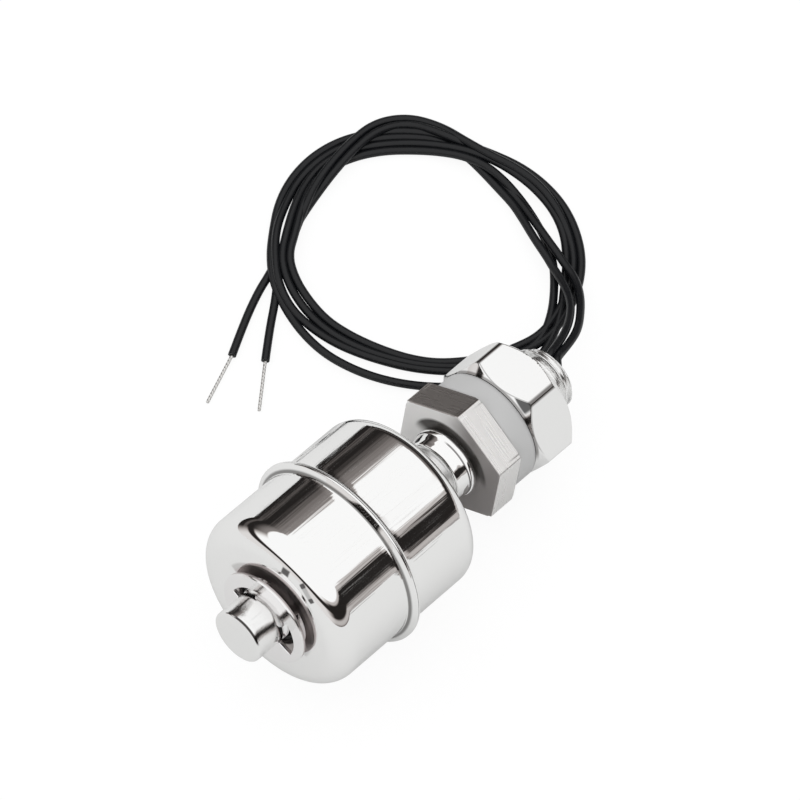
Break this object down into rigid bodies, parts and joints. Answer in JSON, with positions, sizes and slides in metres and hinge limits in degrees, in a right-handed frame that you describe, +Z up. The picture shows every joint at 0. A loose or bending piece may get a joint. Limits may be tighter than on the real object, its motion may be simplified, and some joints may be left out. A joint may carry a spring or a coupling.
{
  "type": "float level switch",
  "caption": "Stainless steel float level switch on its side: a drawn float slides on a clipped stem below a hexagonal threaded fitting with gasket and nut, its black leads coiled beside it.",
  "frame": {"origin": "under the middle of the switch's rigid pieces, on the surface that it lies on", "axes": "+X points along the switch from the stem's closed tip to the lead end, seen from above, and the switch's own axis falls 10.4 degrees that way; +Z is up; the coiled leads lie on the +Y side"},
  "size_m": [0.088, 0.0662, 0.0301],
  "materials": {
    "stem_steel": "polished",
    "clip_steel": "satin",
    "float_steel": "mirror polished",
    "magnet_ferrite": "matte",
    "fitting_steel": "fine turned",
    "gasket_silicone": "matte",
    "nut_steel": "bright",
    "blade_metal": "bright",
    "reed_glass": "clear",
    "lead_insulation": "satin",
    "solder": "dull",
    "sleeve_plastic": "matte",
    "potting_resin": "gloss",
    "tinned_copper": "bright"
  },
  "bodies": {
    "sensor": {"stem_tube": "stem_steel", "retaining_clip": "clip_steel", "hex_fitting": "fitting_steel", "sealing_gasket": "gasket_silicone", "reed_blade_front": "blade_metal", "reed_blade_rear": "blade_metal", "reed_glass": "reed_glass", "inner_wire_return": "lead_insulation", "inner_wire_direct": "lead_insulation", "solder_joint_front": "solder", "solder_joint_rear": "solder", "insulating_sleeve": "sleeve_plastic", "potting_plug": "potting_resin", "lead_exit_a": "lead_insulation", "lead_exit_b": "lead_insulation", "lead_tail_a": "lead_insulation", "lead_tail_b": "lead_insulation", "lead_coil": "lead_insulation", "bare_end_a": "tinned_copper", "bare_end_b": "tinned_copper"},
    "float": {"float_front_shell": "float_steel", "float_rear_shell": "float_steel", "float_tube": "stem_steel", "ring_magnet": "magnet_ferrite"},
    "nut": {"mounting_nut": "nut_steel"}
  },
  "joints": [
    {"name": "float_slide", "type": "slide", "parent": "sensor", "child": "float", "axis": [0.9836, 0, -0.1804], "range_m": [0, 0.005]},
    {"name": "nut_travel", "type": "slide", "parent": "sensor", "child": "nut", "axis": [0.9836, 0, -0.1804], "range_m": [0, 0.0045]}
  ]
}
